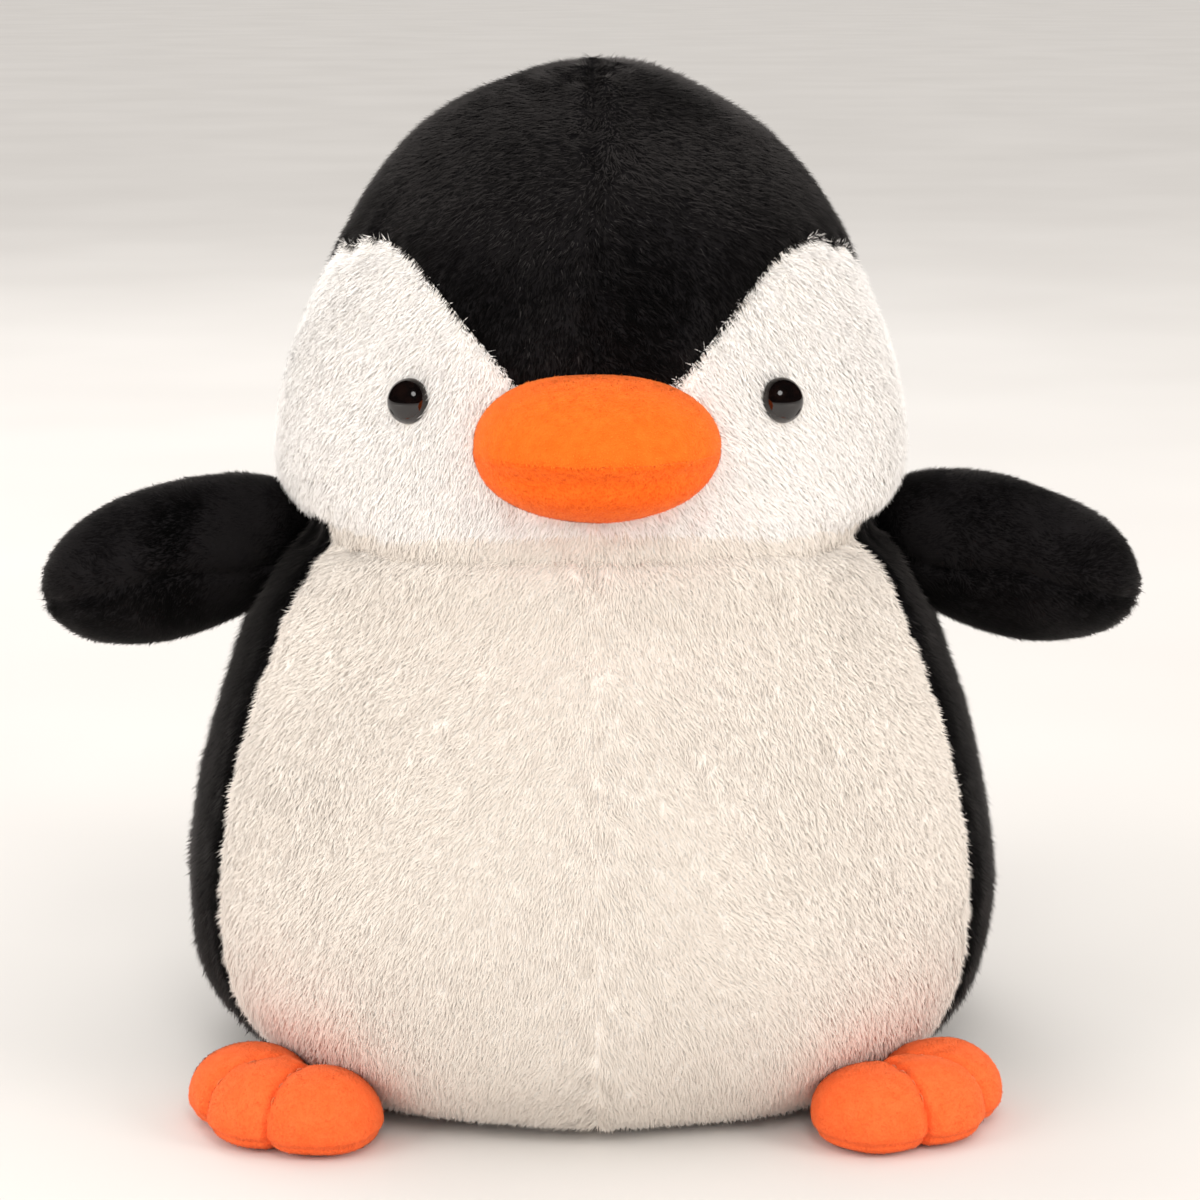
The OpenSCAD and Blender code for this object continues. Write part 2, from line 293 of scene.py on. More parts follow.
def noise(material, scale, detail):
    """A noise texture over the object's own coordinates, in waves per metre."""
    place = add(material, "ShaderNodeTexCoord")
    texture = add(material, "ShaderNodeTexNoise", Scale=scale, Detail=detail)
    join(material, place, "Object", texture, "Vector")
    return texture


def colour_between(material, shader, texture, low, high, dark, light):
    """The base colour goes from dark to light as the texture goes from low to high."""
    ramp = add(material, "ShaderNodeValToRGB")
    ramp.color_ramp.elements[0].position = low
    ramp.color_ramp.elements[0].color = (*dark, 1)
    ramp.color_ramp.elements[1].position = high
    ramp.color_ramp.elements[1].color = (*light, 1)
    join(material, texture, "Fac", ramp, "Fac")
    join(material, ramp, "Color", shader, "Base Color")


def bump(material, shader, texture, distance, strength=1.0):
    node = add(material, "ShaderNodeBump", Strength=strength, Distance=distance)
    join(material, texture, "Fac", node, "Height")
    join(material, node, "Normal", shader, "Normal")


GRAIN_HEIGHT = 0.4 * MM


def cloth_material(name, dark, light, grain=900, **constants):
    """Backing cloth or short nap: mottled colour, with a fine grain that stands up."""
    material, shader = new_material(name, 0.85, **constants)
    colour_between(material, shader, noise(material, grain / 6, 4), 0.35, 0.65, dark, light)
    bump(material, shader, noise(material, grain, 2), GRAIN_HEIGHT)
    return material


def pile_materials(name, shades, **constants):
    """One plain material for each shade of the pile's fibres."""
    made = []
    for i, shade in enumerate(shades):
        material, shader = new_material(f"{name}_{i}", 0.75, **constants)
        shader.inputs["Base Color"].default_value = (*shade, 1)
        made.append(material)
    return made


WHITE_CLOTH = cloth_material("white_cloth", (0.84, 0.775, 0.70), (0.88, 0.82, 0.755), Sheen_Weight=0.2)
BLACK_CLOTH = cloth_material("black_cloth", (0.004, 0.0035, 0.004), (0.009, 0.008, 0.0085),
                             Specular_IOR_Level=0.12)
FIBRE = cloth_material("fibre_fill", (0.85, 0.85, 0.84), (0.95, 0.95, 0.94), 500)

VELBOA = dict(Sheen_Weight=0.2, Sheen_Roughness=0.4, Sheen_Tint=(1.0, 0.5, 0.25, 1), Specular_IOR_Level=0.2)
VELBOA_GRAIN = 1400
BEAK_CLOTH = cloth_material("orange_nap", (0.88, 0.12, 0.006), (0.92, 0.145, 0.010), VELBOA_GRAIN, **VELBOA)
FOOT_CLOTH = cloth_material("foot_nap", (0.88, 0.125, 0.026), (0.92, 0.145, 0.034), VELBOA_GRAIN, **VELBOA)
# The beak's nap is two copies of one orange: the upper panel's is painted lighter, painted light where
# light falls from above, and the lower panel's is painted darker, painted shade on the side that faces
# down.
PAINTED_LIGHT_UPPER_FUZZ = pile_materials(
    "painted_light_upper_fuzz", [(0.93, 0.17, 0.011), (0.94, 0.19, 0.015), (0.95, 0.215, 0.02)], **VELBOA)
PAINTED_SHADE_LOWER_FUZZ = pile_materials(
    "painted_shade_lower_fuzz", [(0.82, 0.07, 0.001), (0.85, 0.083, 0.0015), (0.88, 0.10, 0.002)], **VELBOA)
FOOT_FUZZ = pile_materials(
    "foot_fuzz", [(0.88, 0.115, 0.024), (0.90, 0.13, 0.03), (0.93, 0.155, 0.042)], **VELBOA)

WHITE_SHEEN = dict(Sheen_Weight=0.35, Sheen_Roughness=0.5, Specular_IOR_Level=0.25)
WHITE_PILE = pile_materials(
    "white_pile", [(0.95, 0.90, 0.852), (0.957, 0.911, 0.867), (0.965, 0.922, 0.88)], **WHITE_SHEEN)
CREAM_PILE = pile_materials(
    "cream_pile", [(0.857, 0.765, 0.672), (0.864, 0.776, 0.686), (0.871, 0.787, 0.70)], **WHITE_SHEEN)

BLACK_SHEEN = dict(Sheen_Weight=0.16, Sheen_Roughness=0.35, Sheen_Tint=(1.0, 0.93, 0.9, 1),
                   Specular_IOR_Level=0.06)
# Besides random variation, the lighter shades carry painted sheen on the crown's top and in patches.
BLACK_PILE = pile_materials(
    "black_pile",
    [(0.001, 0.001, 0.001), (0.003, 0.0027, 0.0028), (0.011, 0.010, 0.010), (0.027, 0.0245, 0.024)],
    **BLACK_SHEEN)
SHORT_BLACK_PILE = pile_materials(
    "short_black_pile", [(0.001, 0.001, 0.001), (0.0035, 0.003, 0.0032), (0.010, 0.009, 0.0092)],
    **BLACK_SHEEN)


def thread_material(name, dark, light):
    """Twisted sewing thread."""
    material, shader = new_material(name, 0.5, Sheen_Weight=0.3)
    colour_between(material, shader, noise(material, 2500, 1), 0.3, 0.7, dark, light)
    twist = add(material, "ShaderNodeTexWave", Scale=900, bands_direction="DIAGONAL")
    place = add(material, "ShaderNodeTexCoord")
    join(material, place, "Object", twist, "Vector")
    bump(material, shader, twist, 0.1 * MM)
    return material


def plastic_material(name, dark, light, roughness, **constants):
    """Moulded plastic with a faint flow mottle and a barely uneven gloss."""
    material, shader = new_material(name, roughness, **constants)
    colour_between(material, shader, noise(material, 250, 2), 0.4, 0.6, dark, light)
    bump(material, shader, noise(material, 180, 1), 0.02 * MM, 0.3)
    return material


EYE_BLACK = plastic_material("eye_black", (0.003, 0.002, 0.002), (0.006, 0.003, 0.0025), 0.1,
                             Specular_IOR_Level=0.75)
WASHER = plastic_material("washer_plastic", (0.62, 0.63, 0.63), (0.72, 0.73, 0.73), 0.45)
BLACK_THREAD = thread_material("black_thread", (0.012, 0.011, 0.012), (0.03, 0.027, 0.027))
ORANGE_THREAD = thread_material("orange_thread", (0.62, 0.10, 0.01), (0.80, 0.17, 0.02))


# ---------- pile ----------

def scatter(points, faces, per_mm2, rng):
    """Random places on the faces, with the normal at each."""
    t, normals = fan(faces), vertex_normals(points, faces)
    a, b, c = (points[t[:, i]] for i in range(3))
    area = np.linalg.norm(np.cross(b - a, c - a), axis=1) / 2
    count = int(area.sum() / MM ** 2 * per_mm2)
    picked = t[rng.choice(len(t), count, p=area / area.sum())]
    u, v = rng.random((2, count, 1))
    over = u + v > 1
    u, v = np.where(over, 1 - u, u), np.where(over, 1 - v, v)
    blend = [(1 - u - v), u, v]
    place = sum(w * points[picked[:, i]] for i, w in enumerate(blend))
    return place, unit(sum(w * normals[picked[:, i]] for i, w in enumerate(blend)))


MOST_TUFTS = 49000  # in one piece, to keep it under 200,000 faces
ROOT_DEPTH = 0.3 * MM  # a tuft's foot below the surface of the backing
TUFT_LOWEST = 0.2 * MM  # no tuft reaches nearer to the ground
TUFT_RIDGE = 0.2  # height of a tuft's ridge, in widths
TUFT_SHADING = 0.15  # how much a tuft's shading differs from the surface's
SIZE_SPREAD = (0.75, 1.25)
LIFT_SPREAD = 0.16
WAY_SPREAD = 0.22
SHADE_SPREAD = 0.55


def pile(name, roots, normals, ways, length, width, lift, materials, rng, tone=0.0):
    """Tufts of pile: at each root a thin closed spike along its way, raised from the surface by lift.
    length, lift and tone are one number each or one per tuft; tone chooses darker or lighter shades."""
    count = len(roots)
    length = (length * rng.uniform(*SIZE_SPREAD, count))[:, None]
    width = (width * rng.uniform(*SIZE_SPREAD, count))[:, None]
    lift = (lift + rng.normal(0, LIFT_SPREAD, count))[:, None]
    ways = unit(along_surface(ways + rng.normal(0, WAY_SPREAD, (count, 3)), normals))
    side = np.cross(normals, ways)
    along = np.cos(lift) * ways + np.sin(lift) * normals
    across = np.cross(along, side)
    base = roots - ROOT_DEPTH * normals
    corners = np.stack([base + side * width / 2, base - side * width / 2,
                        base + across * width * TUFT_RIDGE, base + along * length], 1)
    corners[:, :, 2] = np.maximum(corners[:, :, 2], TUFT_LOWEST)
    tip_way = along + rng.normal(0, 0.3, (count, 3))
    shade = unit(np.stack([normals + TUFT_SHADING * side, normals - TUFT_SHADING * side, normals,
                           normals + TUFT_SHADING * tip_way], 1))
    corner_of = np.array([(0, 3, 1), (0, 2, 3), (1, 3, 2), (0, 1, 2)])
    loops = (np.arange(count)[:, None, None] * 4 + corner_of).reshape(-1)
    mesh = bpy.data.meshes.new(name)
    mesh.vertices.add(4 * count)
    mesh.vertices.foreach_set("co", corners.astype(np.float32).ravel())
    mesh.loops.add(len(loops))
    mesh.loops.foreach_set("vertex_index", loops.astype(np.int32))
    mesh.polygons.add(4 * count)
    mesh.polygons.foreach_set("loop_start", np.arange(0, 12 * count, 3, dtype=np.int32))
    mesh.polygons.foreach_set("use_smooth", np.ones(4 * count, bool))
    tone = tone + rng.normal(0, SHADE_SPREAD, count) + (len(materials) - 1) / 2
    which = np.clip(np.round(tone), 0, len(materials) - 1)
    mesh.polygons.foreach_set("material_index", np.repeat(which, 4).astype(np.int32))
    for material in materials:
        mesh.materials.append(material)
    mesh.update(calc_edges=True)
    mesh.normals_split_custom_set_from_vertices(shade.reshape(-1, 3))
    made = bpy.data.objects.new(name, mesh)
    bpy.context.scene.collection.objects.link(made)
    return made


# ---------- the body's surface ----------

def bezier(points, count=60):
    """Points along a cubic curve with those four control points."""
    t = np.linspace(0, 1, count)[:, None]
    p = np.array(points, float)
    return (1 - t) ** 3 * p[0] + 3 * t * (1 - t) ** 2 * p[1] + 3 * t * t * (1 - t) * p[2] + t ** 3 * p[3]


# The same outline as the CAD body: (radius, height) from the base's edge to the crown
HIP_CURVE = [(BASE_R, 0), (BASE_R + 38 * MM, 0), (HIP_R, HIP_Z - 31 * MM), (HIP_R, HIP_Z)]
SHOULDER_CURVE = [(HIP_R, HIP_Z), (HIP_R, HIP_Z + 26 * MM),
                  (NECK_R + 23 * MM, NECK_Z - 8 * MM), (NECK_R, NECK_Z)]
JOWL_CURVE = [(NECK_R, NECK_Z), (NECK_R + 5 * MM, NECK_Z + 5 * MM),
              (CHEEK_R, CHEEK_Z - 8 * MM), (CHEEK_R, CHEEK_Z)]
CROWN_CURVE = [(CHEEK_R, CHEEK_Z), (CHEEK_R, CHEEK_Z + 42 * MM), (72 * MM, HEIGHT), (0, HEIGHT)]
LOW_PART = np.vstack([bezier(HIP_CURVE), bezier(SHOULDER_CURVE)[1:]])
OUTLINE = np.vstack([LOW_PART, bezier(JOWL_CURVE)[1:], bezier(CROWN_CURVE)[1:]])
ALONG = np.concatenate([[0], np.cumsum(np.linalg.norm(np.diff(OUTLINE, axis=0), axis=1))])
NECK_S = ALONG[len(LOW_PART) - 1]
OUTWARD = unit(np.gradient(OUTLINE, ALONG, axis=0)[:, ::-1]) * (1, -1)


def body_radius(z):
    """The radius of the CAD body at a height above its widest part."""
    rising = OUTLINE[:, 1] >= np.maximum.accumulate(OUTLINE[:, 1])
    return np.interp(z, OUTLINE[rising, 1], OUTLINE[rising, 0])


def at_body(theta, s):
    """The CAD body's point and normal at an angle from straight ahead and a length along the outline."""
    r, z = (np.interp(s, ALONG, OUTLINE[:, i]) for i in (0, 1))
    nr, nz = (np.interp(s, ALONG, OUTWARD[:, i]) for i in (0, 1))
    sin, cos = np.sin(theta), np.cos(theta)
    return np.stack([r * sin, -r * cos, z], -1), np.stack([nr * sin, -nr * cos, nz], -1)


def cheek_margin(p):
    """How far a point of the head lies inside the outline of the white cheek; negative outside."""
    x, y, z = np.abs(p[..., 0]), p[..., 1], p[..., 2]
    inner = (CROWN_POINT_Z + x * math.tan(CHEEK_SLOPE) - z) * math.cos(CHEEK_SLOPE)
    top = CHEEK_TOP[1] - (x - CHEEK_TOP[0]) * CHEEK_FALL - z
    back = np.maximum(CHEEK_BACK_R - np.hypot(y - CHEEK_BACK[0], z - CHEEK_BACK[1]), CHEEK_BACK[0] - y)
    return smooth_min(smooth_min(inner, top, 10 * MM), back, 8 * MM)


def white_margin(p):
    """How far a point lies inside the white cloth; negative on the black."""
    theta = np.arctan2(np.abs(p[..., 0]), -p[..., 1])
    belly = np.hypot(p[..., 0], p[..., 1]) * (BELLY_HALF - theta)
    return np.where(p[..., 2] < NECK_Z, belly, cheek_margin(p))


def gradient(field, p, step=0.5 * MM):
    return np.stack([(field(p + step * e) - field(p - step * e)) / (2 * step) for e in np.eye(3)], -1)


def eye_frame(side):
    """The centre of an eye on the CAD surface, and the direction that it faces."""
    row = np.argmin(np.abs(OUTLINE[:, 1] - EYE_Z))
    return at_body(side * EYE_ANGLE, ALONG[row])


def chin(theta):
    """One under the beak, where the face runs down into the belly, falling to nothing at the sides."""
    return smoothstep(math.radians(68), math.radians(20), np.abs(theta))


NECK_RISE = 17 * MM  # the front of the neck seam above its sides


def neck_line(theta):
    """The length along the outline where the head is sewn to the trunk: it rises under the beak."""
    return NECK_S + NECK_RISE * np.maximum(np.cos(theta), 0) ** 1.2


# The groove over each seam, and the dent round each eye: depth and width
SIDE_SEAM = (1.7 * MM, 3 * MM)
CHEEK_SEAM = (1.5 * MM, 3 * MM)
CENTRE_SEAM = (1.5 * MM, 2.6 * MM)
NECK_SEAM = (1.6 * MM, 3 * MM)
EYE_DENT = (2 * MM, 9 * MM)
# How much the neck is filled out under the chin and at the nape, and over what height
CHIN_FILL = 13.5 * MM
NAPE_FILL = 4 * MM
NECK_FILL_H = 12 * MM
# The puckers beside the seams, and the slow waves of the whole cover: height and length
PUCKERS = (0.45 * MM, 10 * MM)
PUCKERS_REACH = 9 * MM
SLOW_WAVES = (0.55 * MM, 75 * MM)
SMALL_WAVES = (0.12 * MM, 24 * MM)


def body_skin(theta, s):
    """Points of the stuffed body's cloth: the CAD surface less the pile, with seams, chin and dents."""
    p, normal = at_body(theta, s)
    z = p[..., 2]
    r = np.hypot(p[..., 0], p[..., 1])
    turn = np.abs(theta)
    neck = neck_line(theta)
    out = -PILE * (0.35 + 0.65 * smoothstep(0, 15 * MM, z))
    full = chin(theta)
    nape = smoothstep(math.radians(110), math.radians(160), turn)
    out += (CHIN_FILL * full + NAPE_FILL * nape) * np.exp(-((z - NECK_Z) / NECK_FILL_H) ** 2)
    side_seam = np.where(s <= neck, r * np.abs(turn - BELLY_HALF), 1)
    centre_seam = np.abs(p[..., 0])
    neck_seam = np.abs(s - neck)
    slope = np.linalg.norm(along_surface(gradient(cheek_margin, p), normal), axis=-1)
    cheek_seam = np.where(s >= neck, np.abs(cheek_margin(p)) / np.maximum(slope, 0.3), 1)
    faint = np.where((turn < 1) & (s < NECK_S * 0.93), 0.55, 1.0)
    out -= hollow(side_seam, *SIDE_SEAM) + hollow(cheek_seam, *CHEEK_SEAM)
    out -= hollow(centre_seam, *CENTRE_SEAM) * faint * smoothstep(0, 30 * MM, r)
    out -= hollow(neck_seam, *NECK_SEAM) * (1 - 0.75 * full)
    seam = np.minimum.reduce([side_seam, centre_seam, neck_seam, cheek_seam])
    out += PUCKERS[0] * waves(p, PUCKERS[1], 11) * hollow(seam, 1, PUCKERS_REACH)
    out += SLOW_WAVES[0] * waves(p, SLOW_WAVES[1], 12) + SMALL_WAVES[0] * waves(p, SMALL_WAVES[1], 13)
    for side in SIDES.values():
        eye, _ = eye_frame(side)
        out -= hollow(np.linalg.norm(p - eye, axis=-1), *EYE_DENT)
    skin = p + normal * out[..., None]
    skin[..., 2] = np.maximum(skin[..., 2], 1.2 * MM)
    return skin


# ---------- shapes that the pile keeps clear of ----------

def beak_level(p):
    """Below one inside the beak, one on its surface."""
    q = np.abs(p - BEAK_CENTRE)
    return (np.hypot(q[..., 0], q[..., 1]) / BEAK_A) ** BEAK_POWER + (q[..., 2] / BEAK_B) ** BEAK_POWER


def joint_place(name):
    found = next(j for j in frame["joints"] if j["name"] == name)
    return np.array(found["pos_m"], float)


def wing_axes(side):
    """The wing's hinge, and its directions along, forward and up."""
    hinge = joint_place("wing_flap_left") * (side, 1, 1) - WING_SAG * UP
    along = np.array([side * math.cos(WING_DROOP), 0, -math.sin(WING_DROOP)])
    up = np.array([side * math.sin(WING_DROOP), 0, math.cos(WING_DROOP)])
    return hinge, along, np.array([0.0, -1.0, 0.0]), up


def wing_radius(u):
    reach = np.where(u > WING_MIDDLE, WING_OUT, WING_IN)
    share = np.clip(np.abs(u - WING_MIDDLE) / reach, 0, 1)
    return WING_R * (1 - share ** WING_POWER) ** (1 / WING_POWER)


def wing_depth(p, side):
    """How deep a point lies inside the wing, below zero outside."""
    hinge, along, _, _ = wing_axes(side)
    u = (p - hinge) @ along
    off = np.linalg.norm(p - hinge - u[..., None] * along, axis=-1)
    beside = (u > WING_MIDDLE - WING_IN) & (u < WING_MIDDLE + WING_OUT)
    return np.where(beside, wing_radius(u) - off, -1)


def outside_body(p):
    """True where a point is outside the CAD body, less its pile."""
    return np.hypot(p[..., 0], p[..., 1]) > body_radius(p[..., 2]) - PILE


def foot_axes(side):
    """The foot's place under its fold line, and its directions outward and sideways."""
    out = np.array([side * math.sin(FOOT_SPLAY), -math.cos(FOOT_SPLAY), 0])
    return out * FOOT_FOLD_R, out, np.array([-out[1], out[0], 0])


# ---------- body pieces ----------

BELLY_COLUMNS = 72
BACK_COLUMNS = 120
ROWS = 104
PLUSH_TUFT_W = 0.56 * MM
PLUSH_LIFT = math.radians(24)  # how steeply the pile stands
LIFT_SWAY = 0.3  # how much that varies where the pile is uneven
EYE_CLEAR = 0.5 * MM
WING_CLEAR = 4 * MM  # pile reaches this deep into the wing's root
FRINGE_W = 5 * MM


def trunk_patch(angles):
    """Points and faces of a stretch of the trunk's skin, from the base up to the neck."""
    theta, share = np.meshgrid(angles, np.linspace(0, 1, ROWS + 1))
    points = body_skin(theta.ravel(), (share * neck_line(theta)).ravel())
    return points, grid_faces(ROWS + 1, len(angles), wrap=False)


def head_patch(angles):
    """Points and faces of a stretch of the head's skin, from the neck up to the crown's top."""
    theta, share = np.meshgrid(angles, np.linspace(0, 1, ROWS + 1)[:-1])
    start = neck_line(theta)
    points = body_skin(theta.ravel(), (start + share * (ALONG[-1] - start)).ravel())
    faces = grid_faces(ROWS, len(angles), wrap=False)
    top = len(points)
    last = (ROWS - 1) * len(angles)
    points = np.vstack([points, body_skin(np.zeros(1), ALONG[-1:])])
    return points, faces + [(last + j, last + j + 1, top) for j in range(len(angles) - 1)]


def side_angles(side, start, stop, count):
    """Angles in rising order, so that the faces look outward on both sides."""
    return np.sort(side * np.linspace(start, stop, count + 1))


def body_pile_ways(p, normal, side, fringe, rng):
    """Which way the body's pile lies: down and a little outward, brushed about, and over the seam
    at the edge of the white cloth."""
    ways = np.array([side * 0.35, 0.0, -1.0]) + np.zeros_like(p)
    ways += 0.18 * wave_vectors(p, 80 * MM, 21) + 0.13 * wave_vectors(p, 8 * MM, 31)
    if fringe:
        near = smoothstep(FRINGE_W, 0, white_margin(p))[:, None]
        ways += -fringe * near * unit(gradient(white_margin, p)) + near * rng.normal(0, 0.35, p.shape)
    return unit(along_surface(ways, normal))


def clear_of_others(p):
    """True where the pile shows: outside the beak, the eyes and the wings."""
    shown = beak_level(p) > 0.93
    for side in SIDES.values():
        eye, _ = eye_frame(side)
        shown &= np.linalg.norm(p - eye, axis=-1) > EYE_R + EYE_CLEAR
        shown &= wing_depth(p, side) < WING_CLEAR
    return shown


def cover_panel(name, node, side, skin, shades, per_mm2, length, fringe, seed):
    """One panel of the body's cover: its backing cloth and its pile.
    fringe is how strongly the white pile at an edge lies over the black."""
    points, faces = used_only(*skin)
    white = shades is not BLACK_PILE
    slot = "white_plush" if white else "black_plush"
    cloth = piece(name, *shell(points, faces, SKIN), WHITE_CLOTH if white else BLACK_CLOTH, slot)
    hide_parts(node)
    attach(cloth, "torso")
    rng = np.random.default_rng(seed)
    roots, normals = scatter(points, faces, per_mm2, rng)
    shown = clear_of_others(roots)
    roots, normals = roots[shown], normals[shown]
    ways = body_pile_ways(roots, normals, side, fringe, rng)
    uneven = 0.03 if white else 0.12
    length = length * (1 + uneven * waves(roots, 40 * MM, 41))
    lift = PLUSH_LIFT + LIFT_SWAY * uneven * waves(roots, 45 * MM, 42)
    tone = np.zeros(len(roots))
    # The black pile is painted lighter towards the crown's top, painted sheen where the light from behind
    # grazes it; the slow waves add patches of painted sheen where the brushed pile would catch the light.
    if not white:
        painted_sheen_on_top = smoothstep(HEIGHT - 80 * MM, HEIGHT - 10 * MM, roots[:, 2])
        tone = 2.2 * painted_sheen_on_top - 0.8 + 0.5 * waves(roots, 55 * MM, 43)
    parts = np.array_split(np.arange(len(roots)), math.ceil(len(roots) / MOST_TUFTS))
    for i, part in enumerate(parts):
        made = pile(f"{name}_pile_{i}", roots[part], normals[part], ways[part], length[part],
                    PLUSH_TUFT_W, lift[part], shades, rng, tone[part])
        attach(made, "torso")


def cover_half(word, side):
    """The four panels of one half of the body's cover. Tufts are per square millimetre."""
    seed = 40 if side > 0 else 60
    belly = trunk_patch(side_angles(side, 0, BELLY_HALF, BELLY_COLUMNS))
    cover_panel(f"belly_{word}", f"belly_panel_{word}", side, belly, CREAM_PILE,
                per_mm2=2.7, length=3.5 * MM, fringe=1.3, seed=seed)
    back = trunk_patch(side_angles(side, BELLY_HALF, math.pi, BACK_COLUMNS))
    cover_panel(f"back_{word}", f"back_panel_{word}", side, back, BLACK_PILE,
                per_mm2=1.4, length=4.4 * MM, fringe=0, seed=seed + 1)
    head, head_faces = head_patch(side_angles(side, 0, math.pi, BELLY_COLUMNS + BACK_COLUMNS))
    head, cheek, crown = split(head, head_faces, cheek_margin(head))
    cover_panel(f"cheek_{word}", f"cheek_panel_{word}", side, (head, cheek), WHITE_PILE,
                per_mm2=3.0, length=3.4 * MM, fringe=0.7, seed=seed + 2)
    cover_panel(f"crown_{word}", f"crown_panel_{word}", side, (head, crown), BLACK_PILE,
                per_mm2=2.2, length=3.7 * MM, fringe=0, seed=seed + 3)


def body_filling():
    """The fibre that fills the body: one closed form just inside the cover."""
    columns = 160
    gap = 2 * MM
    floor_z = 4 * MM
    angles = np.linspace(-math.pi, math.pi, columns + 1)[:-1]
    lengths = np.linspace(0, ALONG[-1], 141)[:-1]
    theta, s = np.meshgrid(angles, lengths)
    points = body_skin(theta.ravel(), s.ravel())
    _, normals = at_body(theta.ravel(), s.ravel())
    points = points - normals * (SKIN + gap)
    points[:, 2] = np.maximum(points[:, 2], floor_z)
    points = np.vstack([points, [[0, 0, floor_z], [0, 0, HEIGHT - PILE - SKIN - gap]]])
    made = piece("body_filling", points, capped_grid(len(lengths), columns), FIBRE, "fibre_fill")
    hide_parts("body_stuffing")
    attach(made, "torso")


def base_cover():
    """The round base panel: slack cloth that is flat in the middle and rolls up into its seam."""
    columns, rings = 180, 40
    clearance = 0.3 * MM
    angles = np.linspace(-math.pi, math.pi, columns + 1)[:-1]
    theta, r = np.meshgrid(angles, np.linspace(0, BASE_R, rings + 1)[1:])
    theta, r = theta.ravel(), r.ravel()
    flat = np.stack([r * np.sin(theta), -r * np.cos(theta), np.zeros_like(r)], -1)
    edge = BASE_R - r
    flat[:, 2] = clearance + hollow(edge, 1.4 * MM, 3 * MM)
    flat[:, 2] += 0.15 * MM * (1 + waves(flat, 12 * MM, 14)) * hollow(edge, 1, 10 * MM)
    points = np.vstack([flat, [[0, 0, clearance]]])
    faces = grid_faces(rings, columns, wrap=True)
    faces += [((j + 1) % columns, j, len(points) - 1) for j in range(columns)]
    faces = facing_out(points, faces, np.array([0, 0, HIP_Z]))
    made = piece("base", *shell(points, faces, SKIN), WHITE_CLOTH, "white_plush")
    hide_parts("base_panel")
    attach(made, "torso")


for word, side in SIDES.items():
    cover_half(word, side)
body_filling()
base_cover()


# ---------- beak ----------

FILLING_GAP = 1.2 * MM  # between a cover's backing and its filling
NAP_PER_MM2 = 3.0
NAP_L = 1.1 * MM
NAP_W = 0.36 * MM
NAP_LIFT = math.radians(28)


def beak_point(turn, away):
    """A point of the beak, by its direction from the beak's centre: the turn round the way that the
    beak faces, and the angle away from it. A soft ridge runs along the seam, over a slight hollow."""
    way = np.stack([np.sin(away) * np.cos(turn), -np.cos(away), np.sin(away) * np.sin(turn)], -1)
    p = way * (beak_level(BEAK_CENTRE + way) ** (-1 / BEAK_POWER))[..., None]
    front = smoothstep(math.radians(95), math.radians(30), away)
    lower = p[..., 2] < 0
    seam = np.abs(p[..., 2])
    out = 1.6 * MM * np.exp(-seam / (4 * MM)) * (0.5 + 0.5 * front) - hollow(seam, 0.5 * MM, 0.9 * MM)
    out -= 2.4 * MM * front * lower * np.exp(-((seam - 6 * MM) / (5 * MM)) ** 2)
    out += 0.12 * MM * waves(p, 9 * MM, 15) * hollow(seam, 1, 6 * MM) + 0.2 * MM * waves(p, 30 * MM, 16)
    return BEAK_CENTRE + p * (1 + (out / np.linalg.norm(p, axis=-1)))[..., None]


def beak_rim(turn):
    """How far from its front the beak's surface goes into the face, at each turn."""
    low, high = np.full_like(turn, 0.5), np.full_like(turn, 2.6)
    for _ in range(24):
        mid = (low + high) / 2
        outside = outside_body(beak_point(turn, mid))
        low, high = np.where(outside, mid, low), np.where(outside, high, mid)
    return low


def beak_half(up):
    """Points and faces of the upper or lower beak panel, from its tip to where it is sewn on."""
    across, rings = 120, 60
    turn = np.sort(np.linspace(0, math.pi, across + 1) * up)
    t, w = np.meshgrid(turn, np.linspace(0, 1, rings + 1)[1:])
    points = beak_point(t.ravel(), (w * beak_rim(turn)).ravel())
    points = np.vstack([points, beak_point(np.zeros(1), np.full(1, 1e-4))])
    faces = grid_faces(rings, across + 1, wrap=False)
    faces += [(len(points) - 1, j + 1, j) for j in range(across)]
    return points, facing_out(points, faces, BEAK_CENTRE)


def fuzz(name, points, faces, materials, seed, shown=None):
    """The short nap of velboa, as tufts that lie nearly along the cloth."""
    rng = np.random.default_rng(seed)
    roots, normals = scatter(points, faces, NAP_PER_MM2, rng)
    if shown is not None:
        keep = shown(roots)
        roots, normals = roots[keep], normals[keep]
    ways = np.array([0.0, -0.3, -1.0]) + 0.3 * wave_vectors(roots, 25 * MM, seed + 7)
    ways = unit(along_surface(ways, normals))
    return pile(name, roots, normals, ways, NAP_L, NAP_W, NAP_LIFT, materials, rng)


def beak_cover(word, up, shades):
    points, faces = beak_half(up)
    panel = piece(f"beak_{word}", *shell(points, faces, SKIN), BEAK_CLOTH, "orange_velboa")
    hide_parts(f"beak_{word}_panel")
    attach(panel, "torso")
    nap = fuzz(f"beak_{word}_nap", points, faces, shades, 70 + up)
    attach(nap, "torso")


def beak_filling():
    """The beak's fibre: a closed form inside its two panels."""
    across, rings = 120, 40
    inset = SKIN + FILLING_GAP
    turn = np.linspace(0, 2 * math.pi, across + 1)[:-1]
    t, w = np.meshgrid(turn, np.linspace(0, 1, rings + 1)[1:])
    outer = beak_point(t.ravel(), (w * beak_rim(turn)).ravel()) - BEAK_CENTRE
    inner = BEAK_CENTRE + outer - inset * unit(outer)
    tip = BEAK_CENTRE - (0, BEAK_A - inset, 0)
    points = np.vstack([inner, [tip, inner[-across:].mean(0)]])
    faces = facing_out(points, capped_grid(rings, across), BEAK_CENTRE)
    made = piece("beak_filling", points, faces, FIBRE, "fibre_fill")
    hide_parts("beak_stuffing")
    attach(made, "torso")


# The upper panel's nap carries painted light and the lower panel's carries painted shade.
beak_cover("upper", 1, PAINTED_LIGHT_UPPER_FUZZ)
beak_cover("lower", -1, PAINTED_SHADE_LOWER_FUZZ)
beak_filling()


# ---------- eyes ----------

